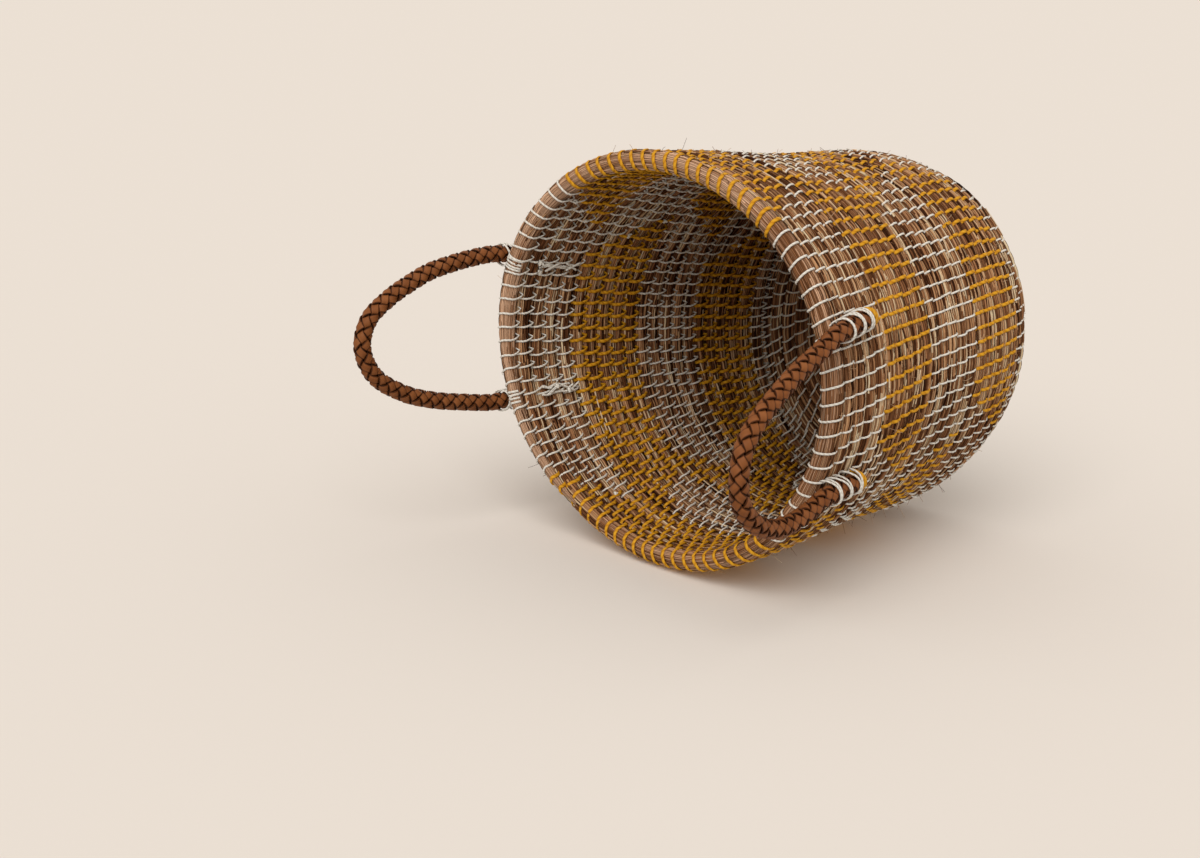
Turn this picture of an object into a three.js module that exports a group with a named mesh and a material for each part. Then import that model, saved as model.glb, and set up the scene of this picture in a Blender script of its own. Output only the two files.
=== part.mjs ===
// Coiled grass basket with two braided handles, standing upright.
// Millimetres, +Z up through the mouth, origin at the middle of the underside, near handle at +X.
import * as THREE from 'three';

// Grass coil: one long bundle, wound flat for the base and then upward for the wall,
// where each row rises a little more than the one before it
const ROW_RISE = 11.9;
const ROW_GROWTH = 0.0105;
const BASE_PITCH = 12.2;
const WALL_ROWS = 20;
const BASE_ROWS = 9;
const ROW_GAP = 0.65;
const COIL_HALF = (ROW_RISE - ROW_GAP) / 2;
const COIL_SIDES = 6;
const COIL_RADIUS = COIL_HALF / Math.cos(Math.PI / COIL_SIDES);
const LOOP_STEPS = 20;
const STANDING_CUT = 0.5;
const BASE_HEIGHT = COIL_RADIUS - STANDING_CUT;
const END_GAP = 0.3;

// A turn runs level for its first half and climbs to the next row in its second half.
// Where the base turns up into the wall, the two climbing rows squeeze each other.
const COIL_START_ANGLE = THREE.MathUtils.degToRad(-20);
const LEVEL_PART = 0.5;
const BASE_END_TURN = LEVEL_PART - 1;
const WALL_END_TURN = WALL_ROWS - 0.25;
const CORNER_SQUEEZE = 0.26;

// Wall outline for the middle of the coil: straight waist, flared mouth, tucked-in foot, slightly oval
const WAIST_RADIUS = 123;
const FLARE = 9.3;
const FLARE_FROM = 90;
const FLARE_RISE = 160;
const FOOT_TUCK = 10.9;
const FOOT_HEIGHT = 60;
const MOUTH_OVAL = 0.051;
const FOOT_OVAL = -0.028;
const OVAL_ANGLE = THREE.MathUtils.degToRad(-15.6);

// Rim: the last turn of the coil, slightly fatter, its end tapered down onto the row below.
// Along its level half it lies a little outside the wall.
const RIM_HALF = 6;
const RIM_SET_OUT = 1.8;
const RIM_TIP_HALF = 2;
const RIM_SIDES = 8;
const RIM_FULL_TURN = WALL_ROWS;
const RIM_TAPER_TURN = WALL_ROWS + LEVEL_PART;
const RIM_END_TURN = WALL_ROWS + 0.72;

// Knot that the coil starts from, wound tight in the middle of the base
const KNOT_HEIGHT = 2 * BASE_HEIGHT;
const KNOT_STEP_TURN = 0.02;

// Braided handles: each stands beside the rim, with both ends laid down the wall and sewn on
const ROPE_RADIUS = 6;
const ROPE_SIDES = 10;
const ROPE_OFFSET = 15.5;
const ROPE_LOOP_STEPS = 40;
const ROPE_END_STEPS = 4;
const HANDLE_BELOW_RIM = 2.2;
const PIVOT_ABOVE_LEVEL = 12;
const END_BELOW_PIVOT = 9;
const SEWN_DEPTH = 30;
const HANDLE_LEAN = 0.12;
const ROUNDING_ANGLES = [60, 30].map(THREE.MathUtils.degToRad);

// Lashing: doubled white twine round each handle end, and one yellow stitch that closes it
const TWINE_RADIUS = 0.8;
const TWINE_SIDES = 4;
const TWINE_STEPS = 10;
const TWINE_CLEARANCE = 0.6;
const LASHING_LOOPS = 3.25;
const LASHING_PITCH = 4.4;
const LASHING_FROM_END = 5;
const STITCH_LOOPS = 1.25;
const STITCH_PITCH = 2.6;
const STITCH_FROM_END = 1.2;

// Routes of the two handle loops between their pivots: across the basket (y), above the handles' level (z)
const NEAR_HANDLE = {
  name: 'near_handle',
  facing: 0,
  end_angles: { a: { low: 19.5, high: 16.5 }, b: { low: -20.5, high: -21.3 } },
  loop: [[35, 31], [27, 53], [17, 73], [5, 93], [-8, 106], [-24, 110], [-41, 106], [-56, 90], [-64, 67],
    [-64, 45], [-60, 24]],
};
const FAR_HANDLE = {
  name: 'far_handle',
  facing: 180,
  end_angles: { a: { low: -19.5, high: -19.3 }, b: { low: 20, high: 20 } },
  loop: [[49, 31], [46, 47], [42, 63], [35, 79], [27, 94], [13, 111], [-5, 116], [-24, 107], [-38, 84],
    [-45, 60], [-49, 34]],
};

const GRASS = { color: 0x96694b, roughness: 0.85, metalness: 0 };
const BRAID = { color: 0x6e3c1e, roughness: 0.6, metalness: 0 };
const WHITE_TWINE = { color: 0xe1d7c8, roughness: 0.8, metalness: 0 };
const YELLOW_TWINE = { color: 0xe1a01e, roughness: 0.75, metalness: 0 };

// Rows gained after a number of turns
function climbed(turn) {
  const whole = Math.floor(turn);
  const part = Math.max(0, turn - whole - LEVEL_PART) / (1 - LEVEL_PART);
  return whole + (1 - Math.cos(Math.PI * part)) / 2;
}

function wallRadius(height) {
  const flared = THREE.MathUtils.clamp((height - FLARE_FROM) / FLARE_RISE, 0, 1);
  const tucked = Math.max(0, 1 - height / FOOT_HEIGHT);
  return WAIST_RADIUS + FLARE * (1 - Math.cos(Math.PI * flared)) / 2 - FOOT_TUCK * tucked ** 2;
}

function ovalFactor(angle, height) {
  const share = height / (ROW_RISE * (WALL_ROWS + 1));
  const amount = FOOT_OVAL + (MOUTH_OVAL - FOOT_OVAL) * share;
  return 1 + amount * Math.cos(2 * (angle - OVAL_ANGLE));
}

const coilRadius = (angle, height) => wallRadius(height) * ovalFactor(angle, height);

// Direction, in the upright plane through the axis, in which the rows stack
function stackAngle(angle, height) {
  return Math.atan2(ROW_RISE, coilRadius(angle, height + ROW_RISE / 2) - coilRadius(angle, height - ROW_RISE / 2));
}

// Size of the bundle's section where it is squeezed on the climb that ends at the given turn
function squeezed(turn, climbEnd) {
  const share = THREE.MathUtils.clamp(1 + (turn - climbEnd) / (1 - LEVEL_PART), 0, 1);
  return turn > climbEnd ? 1 : 1 - CORNER_SQUEEZE * Math.sin(Math.PI * share);
}

const turnAngle = (turn) => COIL_START_ANGLE + 2 * Math.PI * turn;
const baseRadius = (turn) => (
  (wallRadius(0) + BASE_PITCH * (1 + climbed(turn))) * ovalFactor(turnAngle(turn), 0));
const wallHeight = (turn) => (1 + climbed(turn)) * (ROW_RISE + ROW_GROWTH * (1 + climbed(turn)));

// A point on the upright plane at an angle round the axis
function roundAxis(angle, radius, z) {
  return new THREE.Vector3(radius * Math.cos(angle), radius * Math.sin(angle), z);
}

// A polygon's corners, one flat facing the given direction
function polygon(sides, half, flatAngle) {
  const reach = half / Math.cos(Math.PI / sides);
  return Array.from({ length: sides }, (_, i) => {
    const corner = flatAngle + (2 * i + 1) * Math.PI / sides;
    return [reach * Math.cos(corner), reach * Math.sin(corner)];
  });
}

// Turns at which a winding has its rings: whole steps, with the two ends drawn back by half a gap
function ringTurns(from, to, gapTurn) {
  const first = Math.floor(from * LOOP_STEPS) + 1;
  const last = Math.ceil(to * LOOP_STEPS) - 1;
  const steps = Array.from({ length: last - first + 1 }, (_, i) => (first + i) / LOOP_STEPS);
  return [from + gapTurn, ...steps, to - gapTurn];
}

// A closed tube through rings of corners
function tubeFromRings(rings) {
  const sides = rings[0].length;
  const faces = [];
  for (let ring = 0; ring + 1 < rings.length; ring += 1) {
    for (let side = 0; side < sides; side += 1) {
      const a = ring * sides + side;
      const b = ring * sides + (side + 1) % sides;
      faces.push([a, b, b + sides], [a, b + sides, a + sides]);
    }
  }
  const lastRing = (rings.length - 1) * sides;
  for (let side = 1; side + 1 < sides; side += 1) {
    faces.push([0, side + 1, side], [lastRing, lastRing + side, lastRing + side + 1]);
  }
  const corners = rings.flat();
  const volume = faces.reduce((sum, [a, b, c]) => (
    sum + corners[a].dot(new THREE.Vector3().crossVectors(corners[b], corners[c]))), 0);
  const index = faces.flatMap(([a, b, c]) => (volume > 0 ? [a, b, c] : [a, c, b]));
  const geometry = new THREE.BufferGeometry().setFromPoints(corners);
  geometry.setIndex(index);
  geometry.computeVertexNormals();
  return geometry;
}

function distanceToEdge([x, y], [ax, ay], [bx, by]) {
  const along = ((x - ax) * (bx - ax) + (y - ay) * (by - ay)) / ((bx - ax) ** 2 + (by - ay) ** 2);
  const t = THREE.MathUtils.clamp(along, 0, 1);
  return Math.hypot(x - ax - t * (bx - ax), y - ay - t * (by - ay));
}

// Least gap between the sections of one turn and of the next, which lie in the same upright planes
function printCoilGap(name, sections) {
  let least = Infinity;
  for (let i = 1; i + LOOP_STEPS < sections.length - 1; i += 1) {
    const below = sections[i];
    const above = sections[i + LOOP_STEPS];
    for (const [points, edges] of [[below, above], [above, below]]) {
      for (const point of points) {
        edges.forEach((start, j) => {
          least = Math.min(least, distanceToEdge(point, start, edges[(j + 1) % edges.length]));
        });
      }
    }
  }
  console.log(`${name}: least gap to itself ${least.toFixed(2)} mm`);
}

function named(name, geometry, material) {
  const mesh = new THREE.Mesh(geometry, new THREE.MeshStandardMaterial(material));
  mesh.name = name;
  return mesh;
}

// A stretch of the coil from its sections: corners as (radius, height) pairs
function coilMesh(name, turns, sectionAt) {
  const sections = turns.map(sectionAt);
  if (turns.at(-1) - turns[0] > 1) {
    printCoilGap(name, sections);
  }
  const rings = sections.map((section, i) => (
    section.map(([radius, z]) => roundAxis(turnAngle(turns[i]), radius, z))));
  return named(name, tubeFromRings(rings), GRASS);
}

const gapTurn = (radius) => END_GAP / 2 / (2 * Math.PI * radius);

// Flat spiral base: hexagons with flats between the turns, cut flat below where the basket stands
function baseCoil() {
  const flatShare = STANDING_CUT / (COIL_RADIUS / 2);
  const hexagon = polygon(COIL_SIDES, COIL_HALF, 0);
  const lowest = hexagon.findIndex(([, height]) => height < -COIL_RADIUS + STANDING_CUT / 2);
  const cutCorner = (neighbour) => hexagon[lowest].map((value, i) => (
    value + flatShare * (hexagon[(neighbour + COIL_SIDES) % COIL_SIDES][i] - value)));
  const section = [
    ...hexagon.slice(0, lowest), cutCorner(lowest - 1), cutCorner(lowest + 1), ...hexagon.slice(lowest + 1)];
  const turns = ringTurns(-BASE_ROWS, BASE_END_TURN, gapTurn(wallRadius(0)));
  return coilMesh('base_coil', turns, (turn) => {
    const size = squeezed(turn, -1);
    return section.map(([out, up]) => [baseRadius(turn) + size * out, size * (BASE_HEIGHT + up)]);
  });
}

// Wall: the same bundle, climbing off the base and up to the rim
function wallCoil() {
  const flatStart = Math.PI / 3;
  const turns = ringTurns(BASE_END_TURN, WALL_END_TURN, gapTurn(WAIST_RADIUS));
  return coilMesh('wall_coil', turns, (turn) => {
    const height = wallHeight(turn);
    const settled = THREE.MathUtils.clamp(1 + turn / (1 - LEVEL_PART), 0, 1);
    const angle = turnAngle(turn);
    const flatAngle = THREE.MathUtils.lerp(flatStart, stackAngle(angle, height), settled);
    const radius = coilRadius(angle, height);
    return polygon(COIL_SIDES, COIL_HALF * squeezed(turn, 0), flatAngle).map(([out, up]) => (
      [radius + out, Math.max(0, BASE_HEIGHT + height + up)]));
  });
}

// Half the rim's thickness along its turn
function rimHalf(turn) {
  if (turn < RIM_FULL_TURN) {
    return THREE.MathUtils.mapLinear(turn, WALL_END_TURN, RIM_FULL_TURN, COIL_HALF, RIM_HALF);
  }
  if (turn < RIM_TAPER_TURN) {
    return RIM_HALF;
  }
  return THREE.MathUtils.mapLinear(turn, RIM_TAPER_TURN, RIM_END_TURN, RIM_HALF, RIM_TIP_HALF);
}

const rimHeight = (turn) => wallHeight(turn - 1) + COIL_HALF + ROW_GAP + rimHalf(turn);

// How far the rim lies outside the wall: not at all at both ends of its level half, and most in between
function rimSetOut(turn) {
  const share = THREE.MathUtils.clamp((turn - RIM_FULL_TURN) / (RIM_TAPER_TURN - RIM_FULL_TURN), 0, 1);
  return RIM_SET_OUT * Math.sin(Math.PI * share) ** 2;
}

function rimCoil() {
  const turns = ringTurns(WALL_END_TURN, RIM_END_TURN, gapTurn(WAIST_RADIUS + FLARE));
  return coilMesh('rim_coil', turns, (turn) => {
    const height = rimHeight(turn);
    const radius = coilRadius(turnAngle(turn), height) + rimSetOut(turn);
    return polygon(RIM_SIDES, rimHalf(turn), 0).map(([out, up]) => [radius + out, BASE_HEIGHT + height + up]);
  });
}

// The knot fills the middle of the first turn, so its outline is that turn's inner edge
function centreKnot() {
  const outline = ringTurns(-BASE_ROWS, 1 - BASE_ROWS - KNOT_STEP_TURN, 0).map((turn) => {
    const edge = roundAxis(turnAngle(turn), baseRadius(turn) - COIL_HALF - ROW_GAP, 0);
    return new THREE.Vector2(edge.x, edge.y);
  });
  const knot = new THREE.ExtrudeGeometry(new THREE.Shape(outline), { depth: KNOT_HEIGHT, bevelEnabled: false });
  return named('centre_knot', knot, GRASS);
}

// A round tube along a curve, both ends rounded off
function roundedTube(curve, steps, radius, sides, tailLength) {
  const frames = curve.computeFrenetFrames(steps, false);
  const ringAt = (centre, step, size) => Array.from({ length: sides }, (_, side) => {
    const turn = 2 * Math.PI * side / sides;
    return centre.clone()
      .addScaledVector(frames.normals[step], size * Math.cos(turn))
      .addScaledVector(frames.binormals[step], size * Math.sin(turn));
  });
  const rounding = (step, direction) => ROUNDING_ANGLES.map((angle) => {
    const reach = direction * tailLength * Math.sin(angle);
    const centre = curve.getPointAt(step / steps).addScaledVector(frames.tangents[step], reach);
    return ringAt(centre, step, radius * Math.cos(angle));
  });
  const body = Array.from({ length: steps + 1 }, (_, step) => ringAt(curve.getPointAt(step / steps), step, radius));
  return tubeFromRings([...rounding(0, -1), ...body, ...rounding(steps, 1).reverse()]);
}

// A winding of twine round a straight stretch of handle
function twineWinding(name, from, direction, loops, pitch, material) {
  const across = new THREE.Vector3(0, 1, 0).cross(direction).normalize();
  const beside = new THREE.Vector3().crossVectors(direction, across);
  const windingRadius = ROPE_RADIUS + TWINE_CLEARANCE + TWINE_RADIUS;
  const steps = Math.round(loops * TWINE_STEPS);
  const rings = Array.from({ length: steps + 1 }, (_, step) => {
    const turn = step / TWINE_STEPS;
    const outward = across.clone().multiplyScalar(Math.cos(2 * Math.PI * turn))
      .addScaledVector(beside, Math.sin(2 * Math.PI * turn));
    const centre = from.clone().addScaledVector(direction, pitch * turn).addScaledVector(outward, windingRadius);
    return polygon(TWINE_SIDES, TWINE_RADIUS * Math.cos(Math.PI / TWINE_SIDES), 0).map(([out, along]) => (
      centre.clone().addScaledVector(outward, out).addScaledVector(direction, along)));
  });
  const gap = loops > 1 ? pitch - 2 * TWINE_RADIUS : Infinity;
  console.log(`${name}: least gap to itself ${gap.toFixed(2)} mm`);
  return named(name, tubeFromRings(rings), material);
}

const HANDLE_LEVEL = rimHeight(RIM_FULL_TURN) - HANDLE_BELOW_RIM;

// A point beside the wall where a handle end lies, at a height above the base coil's middle
function besideWall(facing, degrees, height) {
  const angle = THREE.MathUtils.degToRad(facing + degrees);
  const radius = coilRadius(angle, height) + ROPE_OFFSET;
  return roundAxis(angle, radius, BASE_HEIGHT + height);
}

// One sewn end: the rope laid down the wall, its lashing and the closing stitch
function sewnEnd(handle, end, pivot) {
  const low = besideWall(handle.facing, handle.end_angles[end].low, HANDLE_LEVEL - SEWN_DEPTH);
  const up = pivot.clone().sub(low).normalize();
  const high = pivot.clone().addScaledVector(up, -END_BELOW_PIVOT - ROPE_RADIUS / 2);
  const rope = roundedTube(new THREE.LineCurve3(low, high), ROPE_END_STEPS, ROPE_RADIUS, ROPE_SIDES, ROPE_RADIUS / 2);
  const lashingFrom = low.clone().addScaledVector(up, LASHING_FROM_END);
  const stitchFrom = low.clone().addScaledVector(up, STITCH_FROM_END);
  return [
    named(`${handle.name}_end_${end}`, rope, BRAID),
    twineWinding(`${handle.name}_lashing_${end}`, lashingFrom, up, LASHING_LOOPS, LASHING_PITCH, WHITE_TWINE),
    twineWinding(`${handle.name}_stitch_${end}`, stitchFrom, up, STITCH_LOOPS, STITCH_PITCH, YELLOW_TWINE),
  ];
}

// A whole handle: the loop that swings, and its two sewn ends
function handleMeshes(handle) {
  const pivots = Object.fromEntries(['a', 'b'].map((end) => (
    [end, besideWall(handle.facing, handle.end_angles[end].high, HANDLE_LEVEL + PIVOT_ABOVE_LEVEL)])));
  const outward = handle.facing === 0 ? 1 : -1;
  const route = handle.loop.map(([across, above]) => {
    const share = THREE.MathUtils.inverseLerp(pivots.a.y, pivots.b.y, across);
    const standing = THREE.MathUtils.lerp(pivots.a.x, pivots.b.x, THREE.MathUtils.clamp(share, 0, 1));
    const leaned = outward * HANDLE_LEAN * (above - PIVOT_ABOVE_LEVEL);
    return new THREE.Vector3(standing + leaned, across, BASE_HEIGHT + HANDLE_LEVEL + above);
  });
  const curve = new THREE.CatmullRomCurve3([pivots.a, ...route, pivots.b], false, 'centripetal');
  const loop = roundedTube(curve, ROPE_LOOP_STEPS, ROPE_RADIUS, ROPE_SIDES, ROPE_RADIUS);
  console.log(`${handle.name}: pivots ${pivots.a.toArray().map((v) => v.toFixed(2))} and`
    + ` ${pivots.b.toArray().map((v) => v.toFixed(2))}, loop length ${curve.getLength().toFixed(1)} mm`);
  return [
    named(handle.name, loop, BRAID),
    ...sewnEnd(handle, 'a', pivots.a),
    ...sewnEnd(handle, 'b', pivots.b),
  ];
}

const basket = new THREE.Group();
basket.add(centreKnot(), baseCoil(), wallCoil(), rimCoil());
for (const handle of [NEAR_HANDLE, FAR_HANDLE]) {
  basket.add(...handleMeshes(handle));
}

export default basket;
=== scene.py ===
import math

import bmesh
import bpy
import numpy as np
from mathutils import Matrix, Vector


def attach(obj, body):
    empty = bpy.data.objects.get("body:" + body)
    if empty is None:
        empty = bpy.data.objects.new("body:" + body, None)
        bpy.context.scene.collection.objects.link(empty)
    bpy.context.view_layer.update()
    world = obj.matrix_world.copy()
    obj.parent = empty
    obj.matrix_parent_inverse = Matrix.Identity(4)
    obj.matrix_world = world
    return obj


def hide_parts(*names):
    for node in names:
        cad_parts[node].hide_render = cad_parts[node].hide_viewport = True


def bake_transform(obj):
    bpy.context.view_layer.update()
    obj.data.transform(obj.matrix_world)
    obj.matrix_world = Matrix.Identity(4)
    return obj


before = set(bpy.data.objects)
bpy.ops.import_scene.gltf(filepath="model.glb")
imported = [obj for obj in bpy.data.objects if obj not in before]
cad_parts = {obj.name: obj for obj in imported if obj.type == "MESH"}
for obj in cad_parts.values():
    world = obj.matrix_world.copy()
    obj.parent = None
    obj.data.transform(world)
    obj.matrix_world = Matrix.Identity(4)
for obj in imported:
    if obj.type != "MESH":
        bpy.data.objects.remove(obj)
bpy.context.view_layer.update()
scene = bpy.context.scene
scene.view_settings.view_transform = "Standard"

# Camera
# The basket stands upright in its own frame, and the photograph shows it lying on its side.
# So the camera is rolled over with its right side down, and looks into the mouth from above.
CAMERA_PLACE = Vector((0.7774, 0.2336, 1.1697))
CAMERA_RIGHT = Vector((0.7317, 0.0533, -0.6796)).normalized()
CAMERA_BACK = Vector((0.6538, 0.2274, 0.7217)).normalized()
FOCAL_PIXELS = 1898.4
IMAGE_WIDTH = 1200
SENSOR_WIDTH = 36.0

camera_up = CAMERA_BACK.cross(CAMERA_RIGHT).normalized()
camera_right = camera_up.cross(CAMERA_BACK)
camera = bpy.data.objects.new("camera", bpy.data.cameras.new("camera"))
camera.data.sensor_width = SENSOR_WIDTH
camera.data.lens = SENSOR_WIDTH * FOCAL_PIXELS / IMAGE_WIDTH
turned = Matrix((camera_right, camera_up, CAMERA_BACK)).transposed().to_4x4()
camera.matrix_world = Matrix.Translation(CAMERA_PLACE) @ turned
scene.collection.objects.link(camera)
scene.camera = camera

# Grass coil
# One long bundle of dry grass stalks, wound flat for the base, up the wall and round the rim.
# Each turn lies level for half its way and climbs to the next row in the other half.
# The rows are a little taller towards the mouth.
ROW_RISE = 0.0119
ROW_GROWTH = 0.0000105
BASE_PITCH = 0.0122
BASE_HEIGHT = 0.005995
START_ANGLE = math.radians(-20)
LEVEL_PART = 0.5
KNOT_TURN = -9.75
BASE_END_TURN = -0.5
WALL_ROWS = 20
WALL_END_TURN = 19.75
RIM_TAPER_TURN = 20.5
RIM_TAIL_TURN = 20.69
RIM_END_TURN = 20.72
WAIST_RADIUS = 0.123
FLARE = 0.0093
FLARE_FROM = 0.09
FLARE_RISE = 0.16
FOOT_TUCK = 0.0109
FOOT_HEIGHT = 0.06
FOOT_OVAL = -0.028
MOUTH_OVAL = 0.051
OVAL_ANGLE = math.radians(-15.6)
ROW_HALF = 0.00563
ROW_GAP = 0.00065
RIM_HALF = 0.006
RIM_SET_OUT = 0.0018
RIM_TAIL_HALF = 0.0026
RIM_TIP_HALF = 0.0007
CORNER_SQUEEZE = 0.2
COIL_OUT = 0.0059
COIL_UP = 0.0061
BOXINESS = 2.3
FULL_TURN = 2 * math.pi
KNOT_GROWTH = 1.6
KNOT_START = 0.25
UV_NAME = "UVMap"
MERGE_DISTANCE = 1e-7
RISE = np.array([0.0, 0.0, 1.0])


def straight_out(angle):
    """The level way out from the basket's axis, at an angle round it."""
    return np.stack([np.cos(angle), np.sin(angle), np.zeros_like(angle)], axis=-1)


def way_at(angle, first, second):
    """The way at an angle from a first way towards a second."""
    return np.cos(angle)[..., None] * first + np.sin(angle)[..., None] * second


def climbed(turn):
    """Rows gained after a number of turns."""
    whole = np.floor(turn)
    part = np.clip((turn - whole - LEVEL_PART) / (1 - LEVEL_PART), 0, 1)
    return whole + (1 - np.cos(np.pi * part)) / 2


def row_height(turn):
    """Height of the middle of a row above the middle of the base bundle."""
    rows = 1 + climbed(turn)
    return rows * (ROW_RISE + ROW_GROWTH * rows)


def wall_radius(angle, height):
    """Distance from the axis to the middle of the coil."""
    flared = np.clip((height - FLARE_FROM) / FLARE_RISE, 0, 1)
    tucked = np.clip(1 - height / FOOT_HEIGHT, 0, None)
    even = WAIST_RADIUS + FLARE * (1 - np.cos(np.pi * flared)) / 2 - FOOT_TUCK * tucked ** 2
    share = height / (ROW_RISE * (WALL_ROWS + 1))
    oval = FOOT_OVAL + (MOUTH_OVAL - FOOT_OVAL) * share
    return even * (1 + oval * np.cos(2 * (angle - OVAL_ANGLE)))


def rim_half(turn):
    """Half the thickness of the rim along its turn."""
    stops = [WALL_END_TURN, WALL_ROWS, RIM_TAPER_TURN, RIM_TAIL_TURN, RIM_END_TURN]
    return np.interp(turn, stops, [ROW_HALF, RIM_HALF, RIM_HALF, RIM_TAIL_HALF, RIM_TIP_HALF])


def coil_line(turn):
    """The coil's middle, the way it faces, the way its rows stack, and its half sizes along both."""
    turn = np.asarray(turn, float)
    angle = START_ANGLE + FULL_TURN * turn
    on_base = turn < BASE_END_TURN
    on_rim = turn > WALL_END_TURN
    half_rim = rim_half(turn)
    rim_height = row_height(turn - 1) + ROW_HALF + ROW_GAP + half_rim
    height = np.where(on_rim, rim_height, np.where(on_base, 0, row_height(turn)))
    radius = wall_radius(angle, height)
    radius = radius + on_base * BASE_PITCH * (1 + climbed(turn))
    level_share = np.clip((turn - WALL_ROWS) / (RIM_TAPER_TURN - WALL_ROWS), 0, 1)
    radius = radius + RIM_SET_OUT * np.sin(np.pi * level_share) ** 2
    lean = wall_radius(angle, height + ROW_RISE / 2) - wall_radius(angle, height - ROW_RISE / 2)
    settled = np.clip(1 + turn / (1 - LEVEL_PART), 0, 1)
    stack = np.where(on_rim, np.pi / 2, settled * np.arctan2(ROW_RISE, lean))
    away = straight_out(angle)
    middle = away * radius[..., None] + RISE * (BASE_HEIGHT + height)[..., None]
    up = way_at(stack, away, RISE)
    out = way_at(stack, -RISE, away)
    corner = np.where(on_base, turn + 1, turn)
    squeeze = np.clip(1 + corner / (1 - LEVEL_PART), 0, 1) * (corner <= 0)
    size = 1 - CORNER_SQUEEZE * np.sin(np.pi * squeeze)
    start = np.clip((turn - KNOT_TURN) * KNOT_GROWTH + KNOT_START, 0, 1)
    half_out = np.where(on_rim, half_rim, COIL_OUT * size * start)
    half_up = np.where(on_rim, half_rim, COIL_UP * size * start)
    return middle, out, up, half_out, half_up


def boxy_reach(angle, half_out, half_up):
    """Distance from the coil's middle to its skin, at an angle round its boxy section."""
    across = (np.abs(np.cos(angle)) / half_out) ** BOXINESS
    along = (np.abs(np.sin(angle)) / half_up) ** BOXINESS
    return (across + along) ** (-1 / BOXINESS)


def rolled_up(name, tubes, lengths, start_length=0.0):
    """A mesh of closed tubes: one flat grid is cut in strips, and each is rolled onto its rings."""
    sides = tubes[0].shape[1]
    counts = [len(rings) for rings in tubes]
    work = bmesh.new()
    work.loops.layers.uv.new(UV_NAME)
    bmesh.ops.create_grid(work, x_segments=sides, y_segments=sum(counts) - 1, size=1, calc_uvs=True)
    work.faces.ensure_lookup_table()
    cuts = np.cumsum(counts)[:-1] - 1
    between = [work.faces[int(cut) * sides + side] for cut in cuts for side in range(sides)]
    bmesh.ops.delete(work, geom=between, context="FACES")
    mesh = bpy.data.meshes.new(name)
    work.to_mesh(mesh)
    closed = [np.concatenate([rings, rings[:, :1]], axis=1) for rings in tubes]
    mesh.vertices.foreach_set("co", np.concatenate([rings.ravel() for rings in closed]))
    starts = start_length + np.concatenate([[0], np.cumsum(lengths)])
    spans = zip(starts, lengths, counts)
    along = np.concatenate([np.linspace(start, start + length, count) for start, length, count in spans])
    uv = np.empty((len(mesh.loops), 2), np.float32)
    mesh.uv_layers[UV_NAME].uv.foreach_get("vector", uv.ravel())
    corners = np.empty(len(mesh.loops), np.int32)
    mesh.loops.foreach_get("vertex_index", corners)
    uv[:, 1] = along[corners // (sides + 1)]
    mesh.uv_layers[UV_NAME].uv.foreach_set("vector", uv.ravel())
    work.clear()
    work.from_mesh(mesh)
    bmesh.ops.remove_doubles(work, verts=work.verts, dist=MERGE_DISTANCE)
    ends = [edge for edge in work.edges if edge.is_boundary]
    bmesh.ops.holes_fill(work, edges=ends, sides=0)
    bmesh.ops.recalc_face_normals(work, faces=work.faces)
    for face in work.faces:
        face.smooth = True
    work.to_mesh(mesh)
    work.free()
    return mesh


def as_piece(mesh, material):
    """The object for a finished mesh, at the origin."""
    piece = bpy.data.objects.new(mesh.name, mesh)
    mesh.materials.append(material)
    scene.collection.objects.link(piece)
    return piece


# Grass material
# Dry brown grass stalks with here and there a paler straw, and painted shade in the gaps between them.
# The stalks are packed side by side round the bundle and each one shows for a few centimetres.
STALKS = 22
STALK_SHOWN = 0.034
# The lowest stop, near black, is painted shade: stalk stretches that fall on it stand for holes between
# stalks. The other stops are the stalks' own tones.
GRASS_TONES = [
    (0.0, (0.035, 0.01, 0.003, 1)),
    (0.25, (0.17, 0.062, 0.022, 1)),
    (0.5, (0.38, 0.168, 0.072, 1)),
    (0.76, (0.62, 0.33, 0.155, 1)),
    (1.0, (0.87, 0.67, 0.42, 1)),
]
GRASS_ROUGHNESS = 0.7
GRASS_GLOSS = 0.05
GRASS_CONTRAST = 0.95
FIBRE_SHARE = 0.6
PATCH_SHARE = 0.5
MIDDLE_SHADE = 0.5
SLIM_SHARE = 0.6
FIBRES_PER_STALK = 3.3
FIBRE_WAVES = 40
FIBRE_DETAIL = 3.0
PATCHES_ROUND = 3
PATCH_WAVES = 12
PATCH_DETAIL = 2.0
STALK_ROUNDNESS = 2.2
STALK_DEPTH = 0.0006
STALK_BUMP = 0.6
# Painted shade: the tint that darkens each stalk towards its edges, for the gaps between stalks.
GAP_SHADE_TINT = (0.07, 0.035, 0.02, 1)
FULL_TINT = (1, 1, 1, 1)
PALER_FADE = 0.016
MIX_COLOURS = (6, 7)
MIX_RESULT = 2


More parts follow.
